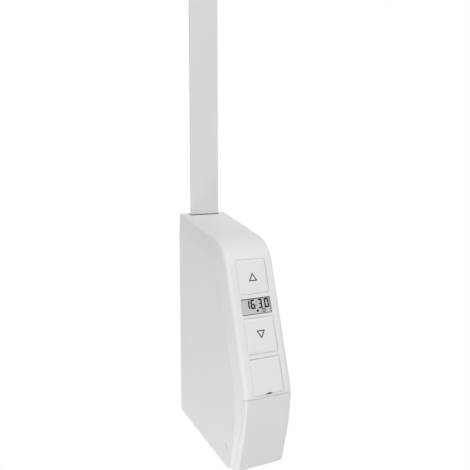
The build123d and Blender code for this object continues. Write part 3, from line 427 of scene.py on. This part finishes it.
# Dark bands round the inside of the display window: painted shade of the window's walls
shade_left, shade_right = DISPLAY_LEFT + RIM_SHADE_WIDTH, DISPLAY_RIGHT - RIM_SHADE_WIDTH
rim_shade_bands = [
    rectangle(DISPLAY_LEFT, DISPLAY_LOW, shade_left, DISPLAY_HIGH),
    rectangle(shade_right, DISPLAY_LOW, DISPLAY_RIGHT, DISPLAY_HIGH),
    rectangle(shade_left, DISPLAY_LOW, shade_right, DISPLAY_LOW + RIM_SHADE_WIDTH),
    rectangle(shade_left, DISPLAY_HIGH - RIM_SHADE_WIDTH, shade_right, DISPLAY_HIGH),
]
prism("display_rim_shade", rim_shade_bands, DISPLAY_DEPTH, window_rim_shade, "housing")

# Bristles at the belt's slot: a brush seal, dark also as painted shade along the belt's foot


def bristles():
    """Rows of short tapered bristles, a little uneven in height."""
    chance = Random(BRISTLE_SEED)
    points, faces = [], []
    for depth in BRISTLE_ROWS:
        for step in range(BRISTLE_COUNT):
            x = BRISTLE_HALF_SPAN * (2 * step / (BRISTLE_COUNT - 1) - 1)
            tip = BRISTLE_TIP + chance.uniform(-BRISTLE_SPREAD, BRISTLE_SPREAD)
            first = len(points)
            for height, half in ((BRISTLE_FOOT, BRISTLE_HALF), (tip, BRISTLE_TIP_HALF)):
                for along, out in ((-half, half), (half, half), (half, -half), (-half, -half)):
                    place = (x + along, -depth - out, height - FIXING_HEIGHT)
                    points.append(Vector(place) * MM)
            faces.append([first, first + 1, first + 2, first + 3])
            faces.append([first + 7, first + 6, first + 5, first + 4])
            for i in range(4):
                j = (i + 1) % 4
                faces.append([first + j, first + i, first + 4 + i, first + 4 + j])
    piece = mesh_object("bristles", points, faces, materials["brush"])
    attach(piece, "housing")


bristles()

# White surround, seen by the camera, in reflections and through glass


def seeing_rays(nodes, links):
    """1 for the rays that see the white surround."""
    path = nodes.new("ShaderNodeLightPath")
    seeing = path.outputs["Is Camera Ray"]
    for kind in ("Is Glossy Ray", "Is Transmission Ray"):
        either = nodes.new("ShaderNodeMath")
        either.operation = "MAXIMUM"
        links.new(seeing, either.inputs[0])
        links.new(path.outputs[kind], either.inputs[1])
        seeing = either.outputs["Value"]
    return seeing


def floor():
    """Floor, well below the part."""
    material, nodes, links, shader = new_material("floor")
    shader.inputs["Base Color"].default_value = (*FLOOR_COLOUR, 1)
    shader.inputs["Roughness"].default_value = 0.9
    white = nodes.new("ShaderNodeEmission")
    white.inputs["Color"].default_value = (1, 1, 1, 1)
    blend = nodes.new("ShaderNodeMixShader")
    links.new(seeing_rays(nodes, links), blend.inputs["Fac"])
    links.new(shader.outputs["BSDF"], blend.inputs[1])
    links.new(white.outputs["Emission"], blend.inputs[2])
    links.new(blend.outputs["Shader"], nodes["Material Output"].inputs["Surface"])
    outline = rectangle(-FLOOR_REACH, -FLOOR_REACH, FLOOR_REACH, FLOOR_REACH)
    corners = [(x, y, FLOOR_HEIGHT) for x, y in outline]
    plane = mesh_object("floor", corners, [(0, 1, 2, 3)], material)


def world():
    """White where it is seen, and a soft grey light on everything."""
    surround = bpy.data.worlds.new("studio")
    bpy.context.scene.world = surround
    surround.use_nodes = True
    nodes, links = surround.node_tree.nodes, surround.node_tree.links
    seen = nodes["Background"]
    seen.inputs["Color"].default_value = (1, 1, 1, 1)
    seen.inputs["Strength"].default_value = 1.0
    lit = nodes.new("ShaderNodeBackground")
    lit.inputs["Color"].default_value = (1, 1, 1, 1)
    lit.inputs["Strength"].default_value = WORLD_STRENGTH
    blend = nodes.new("ShaderNodeMixShader")
    links.new(seeing_rays(nodes, links), blend.inputs["Fac"])
    links.new(lit.outputs["Background"], blend.inputs[1])
    links.new(seen.outputs["Background"], blend.inputs[2])
    links.new(blend.outputs["Shader"], nodes["World Output"].inputs["Surface"])


floor()
world()

# Lamps


def area_light(name, place, target, side, power):
    """Square lamp that faces its target."""
    data = bpy.data.lights.new(name, "AREA")
    data.shape = "SQUARE"
    data.size = side
    data.energy = power
    lamp = bpy.data.objects.new(name, data)
    lamp.location = place
    lamp.rotation_mode = "QUATERNION"
    aim = Vector(target) - Vector(place)
    lamp.rotation_quaternion = aim.to_track_quat("-Z", "Y")
    bpy.context.scene.collection.objects.link(lamp)


for name, lamp in LAMPS.items():
    area_light(name, *lamp)

# Camera

camera_data = bpy.data.cameras.new("camera")
camera_data.lens = CAMERA_LENS
camera_data.sensor_width = 36.0
camera_data.shift_y = CAMERA_SHIFT
camera_data.clip_start, camera_data.clip_end = 0.02, 20
camera = bpy.data.objects.new("camera", camera_data)
camera.location = CAMERA_PLACE
camera.rotation_euler = (radians(90) + CAMERA_PITCH, 0, -CAMERA_YAW)
bpy.context.scene.collection.objects.link(camera)
bpy.context.scene.camera = camera

scene = bpy.context.scene
scene.view_settings.view_transform = "Standard"
scene.view_settings.look = "None"
